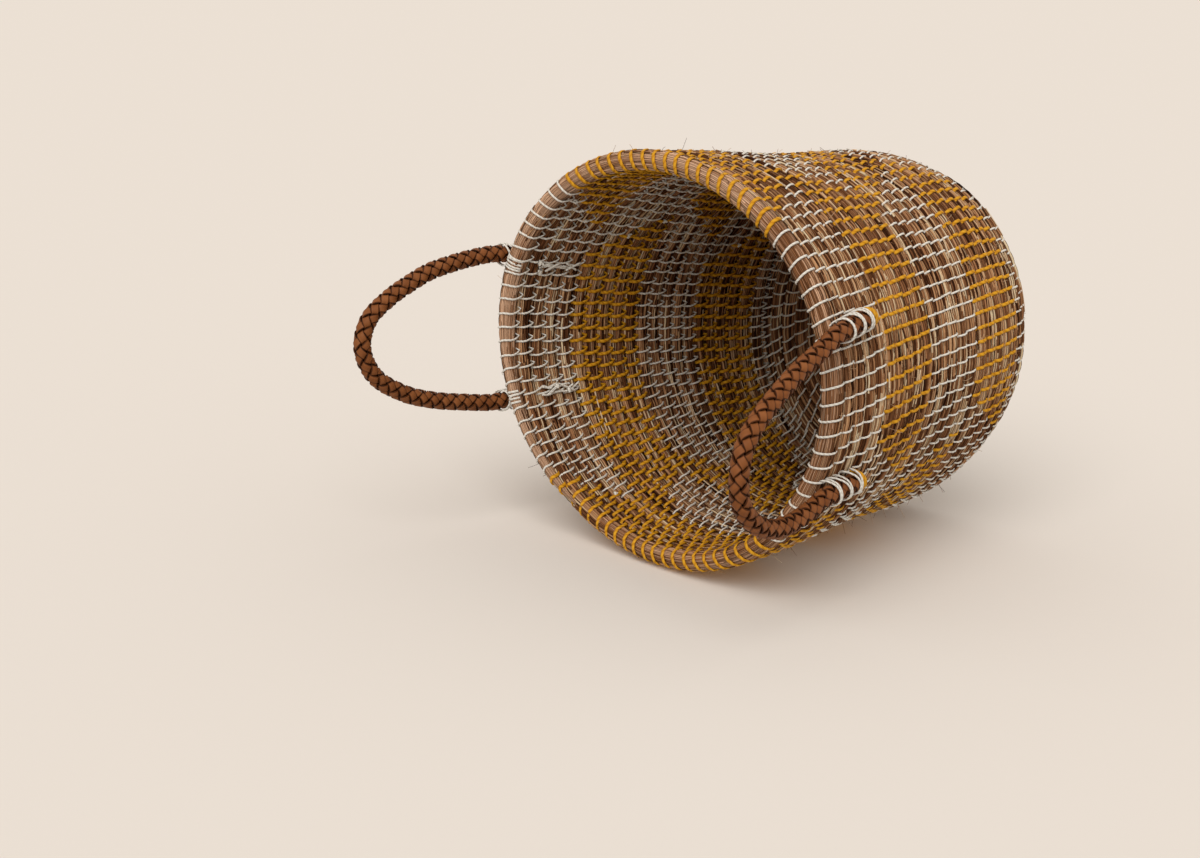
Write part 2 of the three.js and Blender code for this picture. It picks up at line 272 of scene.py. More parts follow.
class Wire:
    """A value in a material's nodes. Arithmetic on it adds Math nodes."""

    def __init__(self, tree, socket=None):
        self.tree = tree
        self.socket = socket

    def node(self, kind, settings=(), sockets=(), output=0):
        """Adds a node, sets it up, joins its sockets and returns one of its outputs."""
        made = self.tree.nodes.new(kind)
        for name, value in dict(settings).items():
            if name == "stops":
                ramp = made.color_ramp.elements
                while len(ramp) < len(value):
                    ramp.new(1)
                for element, (place, colour) in zip(ramp, value):
                    element.position = place
                    element.color = colour
            else:
                setattr(made, name, value)
        for name, value in dict(sockets).items():
            if isinstance(value, Wire):
                self.tree.links.new(value.socket, made.inputs[name])
            else:
                made.inputs[name].default_value = value
        return Wire(self.tree, made.outputs[output])

    def maths(self, operation, first, second=0.0):
        return self.node("ShaderNodeMath", {"operation": operation}, {0: first, 1: second})

    def __add__(self, other):
        return self.maths("ADD", self, other)

    __radd__ = __add__

    def __sub__(self, other):
        return self.maths("SUBTRACT", self, other)

    def __rsub__(self, other):
        return self.maths("SUBTRACT", other, self)

    def __mul__(self, other):
        return self.maths("MULTIPLY", self, other)

    __rmul__ = __mul__

    def __pow__(self, other):
        return self.maths("POWER", self, other)


def new_finish(name, roughness, gloss=0.0):
    """A material with its shader, and a wire to start its nodes from."""
    material = bpy.data.materials.new(name)
    material.use_nodes = True
    shader = material.node_tree.nodes["Principled BSDF"]
    shader.inputs["Roughness"].default_value = roughness
    shader.inputs["Specular IOR Level"].default_value = gloss
    return material, shader, Wire(material.node_tree)


def connect(wire, node, socket):
    """Joins a wire to a socket of a node that is there already."""
    wire.tree.links.new(wire.socket, node.inputs[socket])


def round_and_along(start):
    """How far round a tube a point lies, as a share, and how far along it, in metres."""
    uv = start.node("ShaderNodeUVMap", {"uv_map": UV_NAME})
    apart = start.node("ShaderNodeSeparateXYZ", sockets={0: uv})
    return apart, Wire(start.tree, apart.socket.node.outputs[1])


def place_of(start, x, y, z=0.0):
    """Three values as one place in a pattern."""
    return start.node("ShaderNodeCombineXYZ", sockets={0: x, 1: y, 2: z})


def mixed(start, share, first, second, blend="MIX"):
    """Two colours mixed by a share. The names of a Mix node's sockets repeat, so they go by number."""
    settings = {"data_type": "RGBA", "blend_type": blend}
    sockets = {0: share, MIX_COLOURS[0]: first, MIX_COLOURS[1]: second}
    return start.node("ShaderNodeMix", settings, sockets, MIX_RESULT)


def toned(start, tones, shade):
    """The colour that a shade has in a list of tones."""
    return start.node("ShaderNodeValToRGB", {"stops": tones}, {"Fac": shade})


def noise(start, x, y, detail):
    """Soft noise, at a place given in waves of the pattern."""
    sockets = {"Vector": place_of(start, x, y), "Scale": 1.0, "Detail": detail}
    return start.node("ShaderNodeTexNoise", sockets=sockets)


def dice_roll(start, x, y=0.0, z=0.0):
    """A number from 0 to 1 that is the same all over one cell of the pattern."""
    place = place_of(start, x, y, z)
    return start.node("ShaderNodeTexWhiteNoise", {"noise_dimensions": "3D"}, {"Vector": place})


def bumpy(start, strength, depth, height):
    """A normal that shows a height as relief."""
    sockets = {"Strength": strength, "Distance": depth, "Height": height}
    return start.node("ShaderNodeBump", sockets=sockets)


def faded(start, value, clear, dark):
    """One on the clear side of a stretch of values, and nothing on its dark side."""
    reach = {"Value": value, "From Min": dark, "From Max": clear}
    return start.node("ShaderNodeMapRange", {"interpolation_type": "SMOOTHSTEP"}, reach)


def grass_finish(name, tones, stalks, contrast, middle_shade, paler=0.0, paler_from=0.0):
    """Stalks side by side round a bundle, some split in two slim ones, each with a tone of its own and
    painted shade at its edges.
    """
    material, shader, start = new_finish(name, GRASS_ROUGHNESS, GRASS_GLOSS)
    around, along = round_and_along(start)
    lane = around * stalks
    stalk = start.maths("FLOOR", lane)
    stretch = start.maths("FLOOR", along * (1 / STALK_SHOWN) + dice_roll(start, stalk) * stalks)
    slim = start.maths("LESS_THAN", dice_roll(start, stalk, stretch), SLIM_SHARE)
    place_in_lane = start.maths("FRACT", lane) * (slim + 1)
    tone = dice_roll(start, stalk, stretch, start.maths("FLOOR", place_in_lane) + 1)
    fibre = noise(start, lane * FIBRES_PER_STALK, along * FIBRE_WAVES, FIBRE_DETAIL)
    patch = noise(start, around * PATCHES_ROUND, along * PATCH_WAVES, PATCH_DETAIL)
    offset = (contrast + FIBRE_SHARE + PATCH_SHARE) / 2 - middle_shade
    shade = tone * contrast + fibre * FIBRE_SHARE + patch * PATCH_SHARE - offset
    # Past a point along the bundle the shade value is raised, so the colour there is paler.
    shade = shade + faded(start, along, paler_from + PALER_FADE, paler_from) * paler
    stalk_colour = toned(start, tones, shade)
    off_middle = start.maths("FRACT", place_in_lane) * 2 - 1
    crown = 1 - start.maths("ABSOLUTE", off_middle) ** STALK_ROUNDNESS
    # Painted shade: each stalk's colour darkens towards its edges, where the gaps between stalks lie.
    gap_shade = mixed(start, crown, GAP_SHADE_TINT, FULL_TINT)
    connect(mixed(start, 1.0, stalk_colour, gap_shade, "MULTIPLY"), shader, "Base Color")
    connect(bumpy(start, STALK_BUMP, STALK_DEPTH, crown + fibre), shader, "Normal")
    return material


grass = grass_finish("grass", GRASS_TONES, STALKS, GRASS_CONTRAST, MIDDLE_SHADE)

# Stitch numbering
# The thread winds round the bundle, one loop to a stitch, and each loop catches the row below.
# On the wall the loops stand in 88 columns that lean a little, and on the base they are evenly spaced.
COLUMNS = 88
COLUMN_LEAN = math.radians(0.5)
STITCH_SPACING = (FULL_TURN - COLUMN_LEAN) / COLUMNS
MARKED_COLUMN = 10
MARKED_ROW_TURN = 11
MARKED_ANGLE = math.radians(0.95)
BASE_STITCH = 0.0092
TABLE_STEPS = 4000
TABLE_MARGIN = 0.05


def coil_radius(turn):
    """Distance from the basket's axis to the coil's middle."""
    return np.linalg.norm(coil_line(turn)[0][:, :2], axis=1)


table_turns = np.linspace(KNOT_TURN, RIM_END_TURN + TABLE_MARGIN, TABLE_STEPS)
wall_numbers = START_ANGLE + FULL_TURN * (table_turns - MARKED_ROW_TURN) - MARKED_ANGLE
wall_numbers = wall_numbers / STITCH_SPACING
table_arcs = np.cumsum(coil_radius(table_turns)) * FULL_TURN * (table_turns[1] - table_turns[0])
base_end = np.searchsorted(table_turns, BASE_END_TURN)
base_numbers = wall_numbers[base_end] + (table_arcs - table_arcs[base_end]) / BASE_STITCH
table_numbers = np.where(table_turns < BASE_END_TURN, base_numbers, wall_numbers)


def stitch_number(turn):
    return np.interp(turn, table_turns, table_numbers)


def turn_of_stitch(number):
    return np.interp(number, table_numbers, table_turns)


# Base, wall and rim bundles
# The same bundle all the way: a flat spiral from the middle of the base, twenty rows of wall
# and a last, slightly fatter turn for the rim, whose colour is paler from past the near handle to its
# end.
# The stitches draw the bundle in a little wherever they cross.
RING_SPACING = 0.0031
FEWEST_RINGS = 72
RIDGE = 0.0005
DRIFT = 0.00038
SWAY = 0.32
WAVE_SHORT = 0.03
WAVE_LONG = 0.12
PINCH = 0.0006
PINCH_SHARPNESS = 3
STALK_TWIST = 1.1
RIM_STALKS = 36
# The rim keeps the near-black lowest stop, painted shade for holes between its stalks.
RIM_TONES = GRASS_TONES[:3] + [(1.0, (0.86, 0.53, 0.33, 1))]
RIM_CONTRAST = 0.5
RIM_SHADE = 0.57
RIM_PALER = 0.25
RIM_PALER_TURN = 20.185
WALL_BANDS = 4
RING_JOIN = 1e-4
COIL_SEED = 7
RIM_SEED = 11


def arc_at(turn):
    """How far along the coil a turn is, in metres."""
    return np.interp(turn, table_turns, table_arcs)


def ring_turns(first, last):
    """The turns at which the bundle has a ring, closer together where it bends sharply."""
    turns = np.linspace(first, last, TABLE_STEPS)
    rings_a_turn = np.maximum(FULL_TURN * coil_radius(turns) / RING_SPACING, FEWEST_RINGS)
    rings = np.cumsum(rings_a_turn) * (turns[1] - turns[0])
    return np.interp(np.linspace(rings[0], rings[-1], int(rings[-1] - rings[0])), rings, turns)


def wandering(dice, travel, stalks, reach):
    """How far each stalk strays from its place, in waves of its own length."""
    lengths = dice.uniform(WAVE_SHORT, WAVE_LONG, stalks)
    starts = dice.uniform(0, FULL_TURN, stalks)
    return reach * np.sin(FULL_TURN * travel / lengths + starts)


def bundle_rings(turns, stalks, seed):
    """Rings round the bundle, with a ridge for each stalk and a valley between two."""
    middle, out, up, half_out, half_up = coil_line(turns)
    dice = np.random.default_rng(seed)
    travel = arc_at(turns)[:, None]
    drift = wandering(dice, travel, stalks, DRIFT)
    sway = wandering(dice, travel, stalks, SWAY)
    ridge = drift + RIDGE
    valley = np.minimum(drift, np.roll(drift, 1, axis=1)) - RIDGE / 2
    relief = np.stack([valley, ridge], axis=2).reshape(len(turns), 2 * stalks)
    ridge_lane = np.arange(stalks) + sway + 1 / 2
    valley_lane = np.arange(stalks) + (sway + np.roll(sway, 1, axis=1)) / 2
    lane = np.stack([valley_lane, ridge_lane], axis=2).reshape(len(turns), 2 * stalks)
    angle = FULL_TURN * lane / stalks + STALK_TWIST * travel
    reach = boxy_reach(angle, half_out[:, None], half_up[:, None])
    crossed = (np.cos(FULL_TURN * stitch_number(turns)[:, None] + angle) + 1) / 2
    slim = np.clip(half_out / COIL_OUT, 0, 1)
    reach = reach + (relief - PINCH * crossed ** PINCH_SHARPNESS) * slim[:, None]
    return middle[:, None] + reach[..., None] * way_at(angle, out[:, None], up[:, None])


def bundle_piece(name, first, last, stalks, seed, material, nodes):
    """A stretch of the bundle between two turns, standing for its solids."""
    rings = bundle_rings(ring_turns(first, last), stalks, seed)
    begin = float(arc_at(first))
    length = float(arc_at(last)) - begin
    piece = as_piece(rolled_up(name, [rings], [length], begin), material)
    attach(piece, "basket")
    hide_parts(*nodes)


bundle_piece(
    "base_bundle", KNOT_TURN, BASE_END_TURN + RING_JOIN, STALKS, COIL_SEED, grass, ["base_coil"])
band_turns = np.linspace(BASE_END_TURN, WALL_END_TURN, WALL_BANDS + 1)
for band in range(WALL_BANDS):
    name = f"wall_bundle_{band + 1}"
    band_end = band_turns[band + 1] + RING_JOIN
    bundle_piece(name, band_turns[band], band_end, STALKS, COIL_SEED, grass, ["wall_coil"])
rim_paler_from = float(arc_at(RIM_PALER_TURN))
rim_grass = grass_finish(
    "rim_grass", RIM_TONES, RIM_STALKS, RIM_CONTRAST, RIM_SHADE, RIM_PALER, rim_paler_from)
bundle_piece("rim_bundle", WALL_END_TURN, RIM_END_TURN, RIM_STALKS, RIM_SEED, rim_grass, ["rim_coil"])

# Centre knot
# The thin end of the bundle, wound tight round itself in the middle of the base.
# The first turn of the coil is wound and sewn round it, so it is oval and sits a little to one side.
KNOT_WINDING = 1.2
KNOT_RADII = (0.0027, 0.0035)
KNOT_HALF = (0.005, 0.0033)
KNOT_ASIDE = 0.003
KNOT_STRETCH = 1.55
KNOT_TOWARDS = OVAL_ANGLE + FULL_TURN / 4
KNOT_STALKS = 12
KNOT_STEPS = 40

knot_share = np.linspace(0, 1, KNOT_STEPS)
knot_turned = FULL_TURN * KNOT_WINDING * knot_share
knot_away = straight_out(knot_turned)
knot_middle = knot_away * np.interp(knot_share, [0, 1], KNOT_RADII)[:, None] + RISE * BASE_HEIGHT
knot_corner = np.arange(2 * KNOT_STALKS)
knot_angle = FULL_TURN * knot_corner / len(knot_corner)
knot_reach = boxy_reach(knot_angle, *KNOT_HALF) + RIDGE * (knot_corner % 2)
knot_skin = knot_reach[:, None] * way_at(knot_angle, -RISE, knot_away[:, None])
knot_rings = knot_middle[:, None] + knot_skin
knot_axis = straight_out(KNOT_TOWARDS)
knot_shift = KNOT_ASIDE + (KNOT_STRETCH - 1) * (knot_rings @ knot_axis)
knot_rings = knot_rings + knot_shift[..., None] * knot_axis
knot_length = FULL_TURN * KNOT_WINDING * KNOT_RADII[1]
knot = as_piece(rolled_up("wound_knot", [knot_rings], [knot_length]), grass)
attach(knot, "basket")
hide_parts("centre_knot")

# Stitches
# White twisted twine and a golden yellow strip bind the rows and draw the pattern. Bands of five
# rows carry four blocks round the basket, which change colour and lean the other way in each band.
BAND_ROWS = 5
BLOCK_STARTS = [-2, 20, 42, 66]
ODD_BAND_SHIFT = -6
PATTERN_ROWS = 20
SLOW_ON_FACE = 0.45
STEPS_PER_LOOP = 13
QUARTERS = 4
THREAD_SIDES = 5
THREAD_LIFT = 0.0002
CATCH_DEPTH = 0.0038
CATCH_BEND = 7
INSIDE_CURL = 0.17
CATCH_FROM_TURN = 1.5
GROOVE_SINK = 0.97
RUN_OVERLAP = 0.03
RUN_LEAD = 0.76
UNSTITCHED_START = 0.6
UNSTITCHED_END = 0.006
KINK = 0.045
KINK_SEED = 13
RIM_WIDENING = 1.05
WHITE_HALF = (0.00074, 0.00062)
YELLOW_HALF = (0.00132, 0.0006)


def is_white(number):
    """Whether a stitch is white, by its column and by the row that it binds."""
    row = WALL_ROWS + 1 - math.floor(climbed(turn_of_stitch(number)) + 1 / 2)
    if row > PATTERN_ROWS:
        return True
    column = MARKED_COLUMN - number
    band, step = divmod(max(row, 1) - 1, BAND_ROWS)
    shift = -step if band % 2 == 0 else ODD_BAND_SHIFT + step
    around = (column - BLOCK_STARTS[0] - shift) % COLUMNS
    block = sum(around >= start - BLOCK_STARTS[0] for start in BLOCK_STARTS) - 1
    return (block + band) % 2 == 0


def unit(ways):
    """The same ways with a length of one."""
    return ways / np.linalg.norm(ways, axis=-1, keepdims=True)


def ahead_on(path):
    """The way ahead at each point of a path."""
    return unit(np.gradient(path, axis=0))


def thread_tube(path, normals, halves, sides=THREAD_SIDES):
    """Rings of a thread along a path, lying flat against what its normals point away from."""
    ahead = ahead_on(path)
    beside = unit(np.cross(ahead, normals))
    above = np.cross(beside, ahead)
    angle = FULL_TURN * np.arange(sides) / sides
    half_wide = np.reshape(halves[0], (-1, 1, 1))
    return path[:, None] + way_at(angle, beside[:, None] * half_wide, above[:, None] * halves[1])


def step_lengths(path):
    return np.linalg.norm(np.diff(path, axis=0), axis=1)


def thread(path, normals, halves):
    """The rings of a thread, with its length."""
    return thread_tube(path, normals, halves), float(np.sum(step_lengths(path)))


def stitch_run(first, last, halves):
    """A thread wound a little unevenly, which catches the row below and curls up on the inside."""
    loops = last - first + 1 + 2 * RUN_OVERLAP
    phase = first - RUN_LEAD - RUN_OVERLAP + np.linspace(0, loops, int(loops * STEPS_PER_LOOP) + 1)
    past_bottom = QUARTERS * (phase % 1) - 1
    below = np.clip(1 - past_bottom, 0, 1)
    curled = (1 - below ** 2) * np.cos(np.pi / 2 * np.clip(past_bottom - 1, 0, 1)) ** 2
    number = phase - SLOW_ON_FACE * np.sin(2 * FULL_TURN * phase) / (2 * FULL_TURN)
    number = number + INSIDE_CURL * curled + np.interp(phase, kink_places, kinks)
    turns = turn_of_stitch(number)
    middle, out, up, half_out, half_up = coil_line(turns)
    angle = -FULL_TURN * phase
    free_top = (turns > WALL_END_TURN) & (np.sin(angle) > 0)
    reach_up = np.where(free_top, half_up + RIDGE + THREAD_LIFT, half_up * GROOVE_SINK)
    reach_out = half_out + RIDGE + THREAD_LIFT
    normals = way_at(angle, out, up)
    path = middle + boxy_reach(angle, reach_out, reach_up)[:, None] * normals
    caught = np.clip(turns - KNOT_TURN - CATCH_FROM_TURN, 0, 1)
    inward = reach_out * (1 - below ** CATCH_BEND) ** (1 / CATCH_BEND)
    downward = (half_up * GROOVE_SINK + CATCH_DEPTH * caught) * below
    from_below = middle - inward[:, None] * out - downward[:, None] * up
    is_below = (past_bottom >= 0) & (past_bottom < 1)
    path = np.where(is_below[:, None], from_below, path)
    half_wide = halves[0] * np.where(turns > WALL_END_TURN, RIM_WIDENING, 1)
    return thread(path, normals, (half_wide, halves[1]))


first_stitch = int(math.ceil(stitch_number(KNOT_TURN + UNSTITCHED_START)))
last_stitch = int(math.floor(stitch_number(RIM_END_TURN - UNSTITCHED_END)))
kink_places = np.arange(first_stitch - 1, last_stitch + 2, 1 / 2)
kinks = np.random.default_rng(KINK_SEED).normal(0, KINK, len(kink_places))
runs = {True: [], False: []}
colour_changes = []
run_start = first_stitch
for number in range(first_stitch, last_stitch + 1):
    white = is_white(number)
    if number == last_stitch or is_white(number + 1) != white:
        halves = WHITE_HALF if white else YELLOW_HALF
        runs[white].append(stitch_run(run_start, number, halves))
        colour_changes.append(number)
        run_start = number + 1


PLY_GROOVE_SHADE = 0.45
TWIST_SHARE = 0.45
DIRT_SHARE = 0.45
THREAD_OFFSET = 0.12
TWISTS_ROUND = 7
TWIST_WAVES = 160
TWIST_DETAIL = 2.0
DIRT_WAVES = 45
DIRT_DETAIL = 2.0
THREAD_BUMP = 0.7
WHITE_TONES = [
    (0.0, (0.33, 0.27, 0.2, 1)),
    (0.4, (0.7, 0.63, 0.53, 1)),
    (1.0, (0.9, 0.86, 0.78, 1)),
]
WHITE_ROUGHNESS = 0.75
WHITE_GLOSS = 0.25
WHITE_PLY = 0.0032
WHITE_DEPTH = 0.0004
YELLOW_TONES = [
    (0.0, (0.2, 0.065, 0.003, 1)),
    (0.4, (0.56, 0.23, 0.008, 1)),
    (1.0, (0.78, 0.4, 0.024, 1)),
]
YELLOW_ROUGHNESS = 0.5
YELLOW_GLOSS = 0.1
YELLOW_PLY = 0.005
YELLOW_DEPTH = 0.0006


def thread_finish(name, tones, ply_length, roughness, gloss, depth):
    """Twisted thread: plies that wind along it, with painted shade in the grooves between them, fibres
    and a little dirt.
    """
    material, shader, start = new_finish(name, roughness, gloss)
    around, along = round_and_along(start)
    winding = around + along * (1 / ply_length)
    crown = 1 - start.maths("ABSOLUTE", start.maths("FRACT", winding) * 2 - 1) ** 2
    fibre = noise(start, winding * TWISTS_ROUND, along * TWIST_WAVES, TWIST_DETAIL)
    dirt = noise(start, 0.0, along * DIRT_WAVES, DIRT_DETAIL)
    # Painted shade: the colour darkens from each ply's crown into the groove between plies.
    shade = crown * PLY_GROOVE_SHADE + fibre * TWIST_SHARE + dirt * DIRT_SHARE - THREAD_OFFSET
    connect(toned(start, tones, shade), shader, "Base Color")
    connect(bumpy(start, THREAD_BUMP, depth, crown + fibre * TWIST_SHARE), shader, "Normal")
    return material


white_twine = thread_finish(
    "white_twine", WHITE_TONES, WHITE_PLY, WHITE_ROUGHNESS, WHITE_GLOSS, WHITE_DEPTH)
yellow_strip = thread_finish(
    "yellow_strip", YELLOW_TONES, YELLOW_PLY, YELLOW_ROUGHNESS, YELLOW_GLOSS, YELLOW_DEPTH)
THREADS = {True: ("white", white_twine, "white_twine"), False: ("yellow", yellow_strip, "yellow_strip")}


def thread_piece(name, tubes_and_lengths, material):
    """The piece for threads given as rings with their lengths, riding on the basket."""
    tubes, lengths = zip(*tubes_and_lengths)
    piece = as_piece(rolled_up(name, tubes, lengths), material)
    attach(piece, "basket")
    return piece


for white, (colour_name, material, slot) in THREADS.items():
    thread_piece(f"{colour_name}_stitches", runs[white], material)

# Braided handles
# Each handle is a round braid of eight flat chestnut strips over a core painted near black as shade,
# twelve millimetres thick.
# Four strips wind each way and pass over one and under one, with a narrow slit beside each.
# Both ends lie down the wall, where they are sewn on, and the loop runs between them.
PIVOT_ABOVE_LEVEL = 0.012
SEWN_DEPTH = 0.03
ROPE_OFFSET = 0.0155
TIP_OFFSET = 0.0118
HANDLE_LEAN = 0.12
RIM_LEVEL_TURN = 20.25
HANDLE_BELOW_RIM = 0.0022
HANDLE_LEVEL = float(coil_line(np.array([RIM_LEVEL_TURN]))[0][0, 2]) - BASE_HEIGHT - HANDLE_BELOW_RIM
MILLIMETRE = 0.001
STRIPS_EACH_WAY = 4
BRAID_PITCH = 0.037
BRAID_RADIUS = 0.0046
BRAID_WEAVE = 0.0009
WEAVE_SHARPNESS = 0.55
STRIP_HALF = (0.00235, 0.0006)
STRIP_SECTION = [
    (1, -0.2), (0.95, 0.8), (0.8, 1), (-0.8, 1), (-0.95, 0.8), (-1, -0.2), (-0.8, -1), (0.8, -1)]
FACE_CORNER = 2.5
STRIP_FACE = FACE_CORNER / len(STRIP_SECTION)
# Painted shade: how far from the middle of a strip's face, and from its crest, the shade at its edges
# and where it dives under starts and is full.
FACE_CLEAR = 0.046
FACE_SHADED = 0.078
CREST_CLEAR = 0.228
CREST_SHADED = 0.285
STRIP_STEP = 0.0011
CORE_HALF = 0.0042
CORE_SIDES = 10
CORE_SHORTER = 5
END_TAPER = 0.007
END_THICKNESS = 0.35
END_ROUNDNESS = 0.5
CURVE_SLACK = 0.5
ROUTE_STEPS = 30
BLEND_BELOW = 0.006
BLEND_ABOVE = 0.02
HANDLES = {
    "near_handle": {
        "facing": 0,
        "outward": 1,
        "rim_wraps": 0,
        "ends": {"a": (19.5, 16.5), "b": (-20.5, -21.3)},
        "route": [(35, 31), (27, 53), (17, 73), (5, 93), (-8, 106), (-24, 110), (-41, 106), (-56, 90),
                  (-64, 67), (-64, 45), (-60, 24)],
    },
    "far_handle": {
        "facing": 180,
        "outward": -1,
        "rim_wraps": 5,
        "ends": {"a": (-19.5, -19.3), "b": (20, 20)},
        "route": [(49, 31), (46, 47), (42, 63), (35, 79), (27, 94), (13, 111), (-5, 116), (-24, 107),
                  (-38, 84), (-45, 60), (-49, 34)],
    },
}


def beside_wall(angle, height, offset):
    """A point off the wall's middle, at a height above the middle of the base bundle."""
    radius = wall_radius(angle, height) + offset
    return radius * straight_out(angle) + (BASE_HEIGHT + height) * RISE


def on_end(handle, end, share):
    """A point on the middle of a handle's end, at a share of the way from its tip to its pivot."""
    low, high = handle["ends"][end]
    angle = math.radians(handle["facing"] + low + share * (high - low))
    height = HANDLE_LEVEL - SEWN_DEPTH + share * (SEWN_DEPTH + PIVOT_ABOVE_LEVEL)
    return beside_wall(angle, height, TIP_OFFSET + share * (ROPE_OFFSET - TIP_OFFSET))


def in_between(place, left, right, first, second):
    """A point between two others, by a place between the places of both."""
    return (first * (right - place) + second * (place - left)) / (right - left)


def smooth_path(points, steps):
    """A smooth curve through points that doesn't swing out where they are close together."""
    points = np.asarray(points, float)
    points = np.vstack([2 * points[0] - points[1], points, 2 * points[-1] - points[-2]])
    knots = np.concatenate([[0], np.cumsum(step_lengths(points) ** CURVE_SLACK)])
    pieces = []
    for span in range(1, len(points) - 2):
        place = np.linspace(knots[span], knots[span + 1], steps, endpoint=False)[:, None]
        before = in_between(place, knots[span - 1], knots[span], points[span - 1], points[span])
        within = in_between(place, knots[span], knots[span + 1], points[span], points[span + 1])
        after = in_between(place, knots[span + 1], knots[span + 2], points[span + 1], points[span + 2])
        early = in_between(place, knots[span - 1], knots[span + 1], before, within)
        late = in_between(place, knots[span], knots[span + 2], within, after)
        pieces.append(in_between(place, knots[span], knots[span + 1], early, late))
    return np.vstack(pieces + [points[-2:-1]])


def at_places(places, along, values):
    """Vectors that are known along a path, at other places along it."""
    return np.stack([np.interp(places, along, column) for column in values.T], axis=-1)


def even_steps(path, step):
    """The same path with points at even steps, and how far along it they are."""
    along = np.concatenate([[0], np.cumsum(step_lengths(path))])
    count = max(2, int(round(along[-1] / step)) + 1)
    wanted = np.linspace(0, along[-1], count)
    return at_places(wanted, along, path), wanted


def steady_normals(path, first):
    """Normals carried along a path without twisting, and the ways beside them."""
    ahead = ahead_on(path)
    normals = []
    normal = np.asarray(first, float)
    for direction in ahead:
        normal = unit(normal - direction * np.dot(normal, direction))
        normals.append(normal)
    normals = np.array(normals)
    return normals, np.cross(ahead, normals)


def handle_path(handle):
    """The middle of a handle, from the low tip of one end round the loop to the low tip of the other."""
    rim_share = SEWN_DEPTH / (SEWN_DEPTH + PIVOT_ABOVE_LEVEL)
    lows = {end: on_end(handle, end, 0) for end in handle["ends"]}
    at_rim = {end: on_end(handle, end, rim_share) for end in handle["ends"]}
    pivots = {end: on_end(handle, end, 1) for end in handle["ends"]}
    route = []
    for across, above in np.array(handle["route"]) * MILLIMETRE:
        share = (across - pivots["a"][1]) / (pivots["b"][1] - pivots["a"][1])
        standing = pivots["a"][0] + (pivots["b"][0] - pivots["a"][0]) * min(max(share, 0), 1)
        leaned = handle["outward"] * HANDLE_LEAN * (above - PIVOT_ABOVE_LEVEL)
        route.append([standing + leaned, across, BASE_HEIGHT + HANDLE_LEVEL + above])
    points = [lows["a"], at_rim["a"], pivots["a"], *route, pivots["b"], at_rim["b"], lows["b"]]
    return smooth_path(points, ROUTE_STEPS), lows, pivots


def braid_strips(rope, along, normal, beside, way, weaves):
    """Flat strips wound one way round the rope, each rising over one strip and diving under the next."""
    taper = np.clip(np.minimum(along, along[-1] - along) / END_TAPER, 0, 1) ** END_ROUNDNESS
    thickness = END_THICKNESS + (1 - END_THICKNESS) * taper
    woven = FULL_TURN * weaves * along / along[-1]
    wave = way * np.cos(woven)
    wave = np.sign(wave) * np.abs(wave) ** WEAVE_SHARPNESS
    slope = math.atan2(FULL_TURN * BRAID_RADIUS, BRAID_PITCH)
    section = np.array(STRIP_SECTION) * np.array(STRIP_HALF)
    strips = []
    for strip in range(STRIPS_EACH_WAY):
        angle = (way * woven + FULL_TURN * strip) / STRIPS_EACH_WAY
        angle = angle[:, None] + section[:, 0] * math.cos(slope) / BRAID_RADIUS
        places = along[:, None] - way * section[:, 0] * math.sin(slope)
        reach = BRAID_RADIUS + BRAID_WEAVE * wave[:, None] + section[:, 1]
        reach = (reach * thickness[:, None])[..., None]
        away = way_at(angle, at_places(places, along, normal), at_places(places, along, beside))
        strips.append(at_places(places, along, rope) + reach * away)
    return strips


# The lowest stop, near black, is reached by the painted shade at the strips' edges and where they dive
# under.
BRAID_TONES = [
    (0.0, (0.01, 0.0022, 0.0005, 1)),
    (0.45, (0.15, 0.045, 0.0115, 1)),
    (1.0, (0.35, 0.125, 0.04, 1)),
]
BRAID_ROUGHNESS = 0.5
BRAID_GLOSS = 0.1
EDGE_SHADE_SHARE = 0.5
GRAIN_SHARE = 0.5
WEAR_SHARE = 0.4
BRAID_OFFSET = 0.3
GRAIN_ROUND = 9
GRAIN_WAVES = 1.1
GRAIN_DETAIL = 4.0
WEAR_ROUND = 1.5
WEAR_WAVES = 0.55
WEAR_DETAIL = 1.0
GRAIN_DEPTH = 0.0003
GRAIN_BUMP = 0.4
# Painted shade: the near-black colour of the core, seen in the slits between the strips.
CORE_SHADE_COLOUR = (0.006, 0.002, 0.0008, 1)


def braid_finish(name, first_crest):
    """Chestnut strips with fine grain and worn patches, with painted shade at the edges and where they
    dive under.
    """
    material, shader, start = new_finish(name, BRAID_ROUGHNESS, BRAID_GLOSS)
    around, woven = round_and_along(start)
    grain = noise(start, around * GRAIN_ROUND, woven * GRAIN_WAVES, GRAIN_DETAIL)
    wear = noise(start, around * WEAR_ROUND, woven * WEAR_WAVES, WEAR_DETAIL)
    # Painted shade: the strips darken at their edges and where they dive under the next strip.
    off_face = start.maths("ABSOLUTE", around - STRIP_FACE)
    off_crest = start.maths("PINGPONG", woven - first_crest, 1 / 2)
    clear_of_edge_shade = faded(start, off_face, FACE_CLEAR, FACE_SHADED)
    clear_of_under_shade = faded(start, off_crest, CREST_CLEAR, CREST_SHADED)
    shade = clear_of_edge_shade * clear_of_under_shade * EDGE_SHADE_SHARE + grain * GRAIN_SHARE + wear * WEAR_SHARE - BRAID_OFFSET
    connect(toned(start, BRAID_TONES, shade), shader, "Base Color")
    connect(bumpy(start, GRAIN_BUMP, GRAIN_DEPTH, grain), shader, "Normal")
    return material


def core_finish(name):
    """A cord painted near black as shade, that only shows as black slits between the strips."""
    material, shader, start = new_finish(name, BRAID_ROUGHNESS)
    around, woven = round_and_along(start)
    grain = noise(start, around * GRAIN_ROUND, woven * GRAIN_WAVES, GRAIN_DETAIL)
    connect(mixed(start, grain, BRAID_TONES[0][1], CORE_SHADE_COLOUR), shader, "Base Color")
    return material


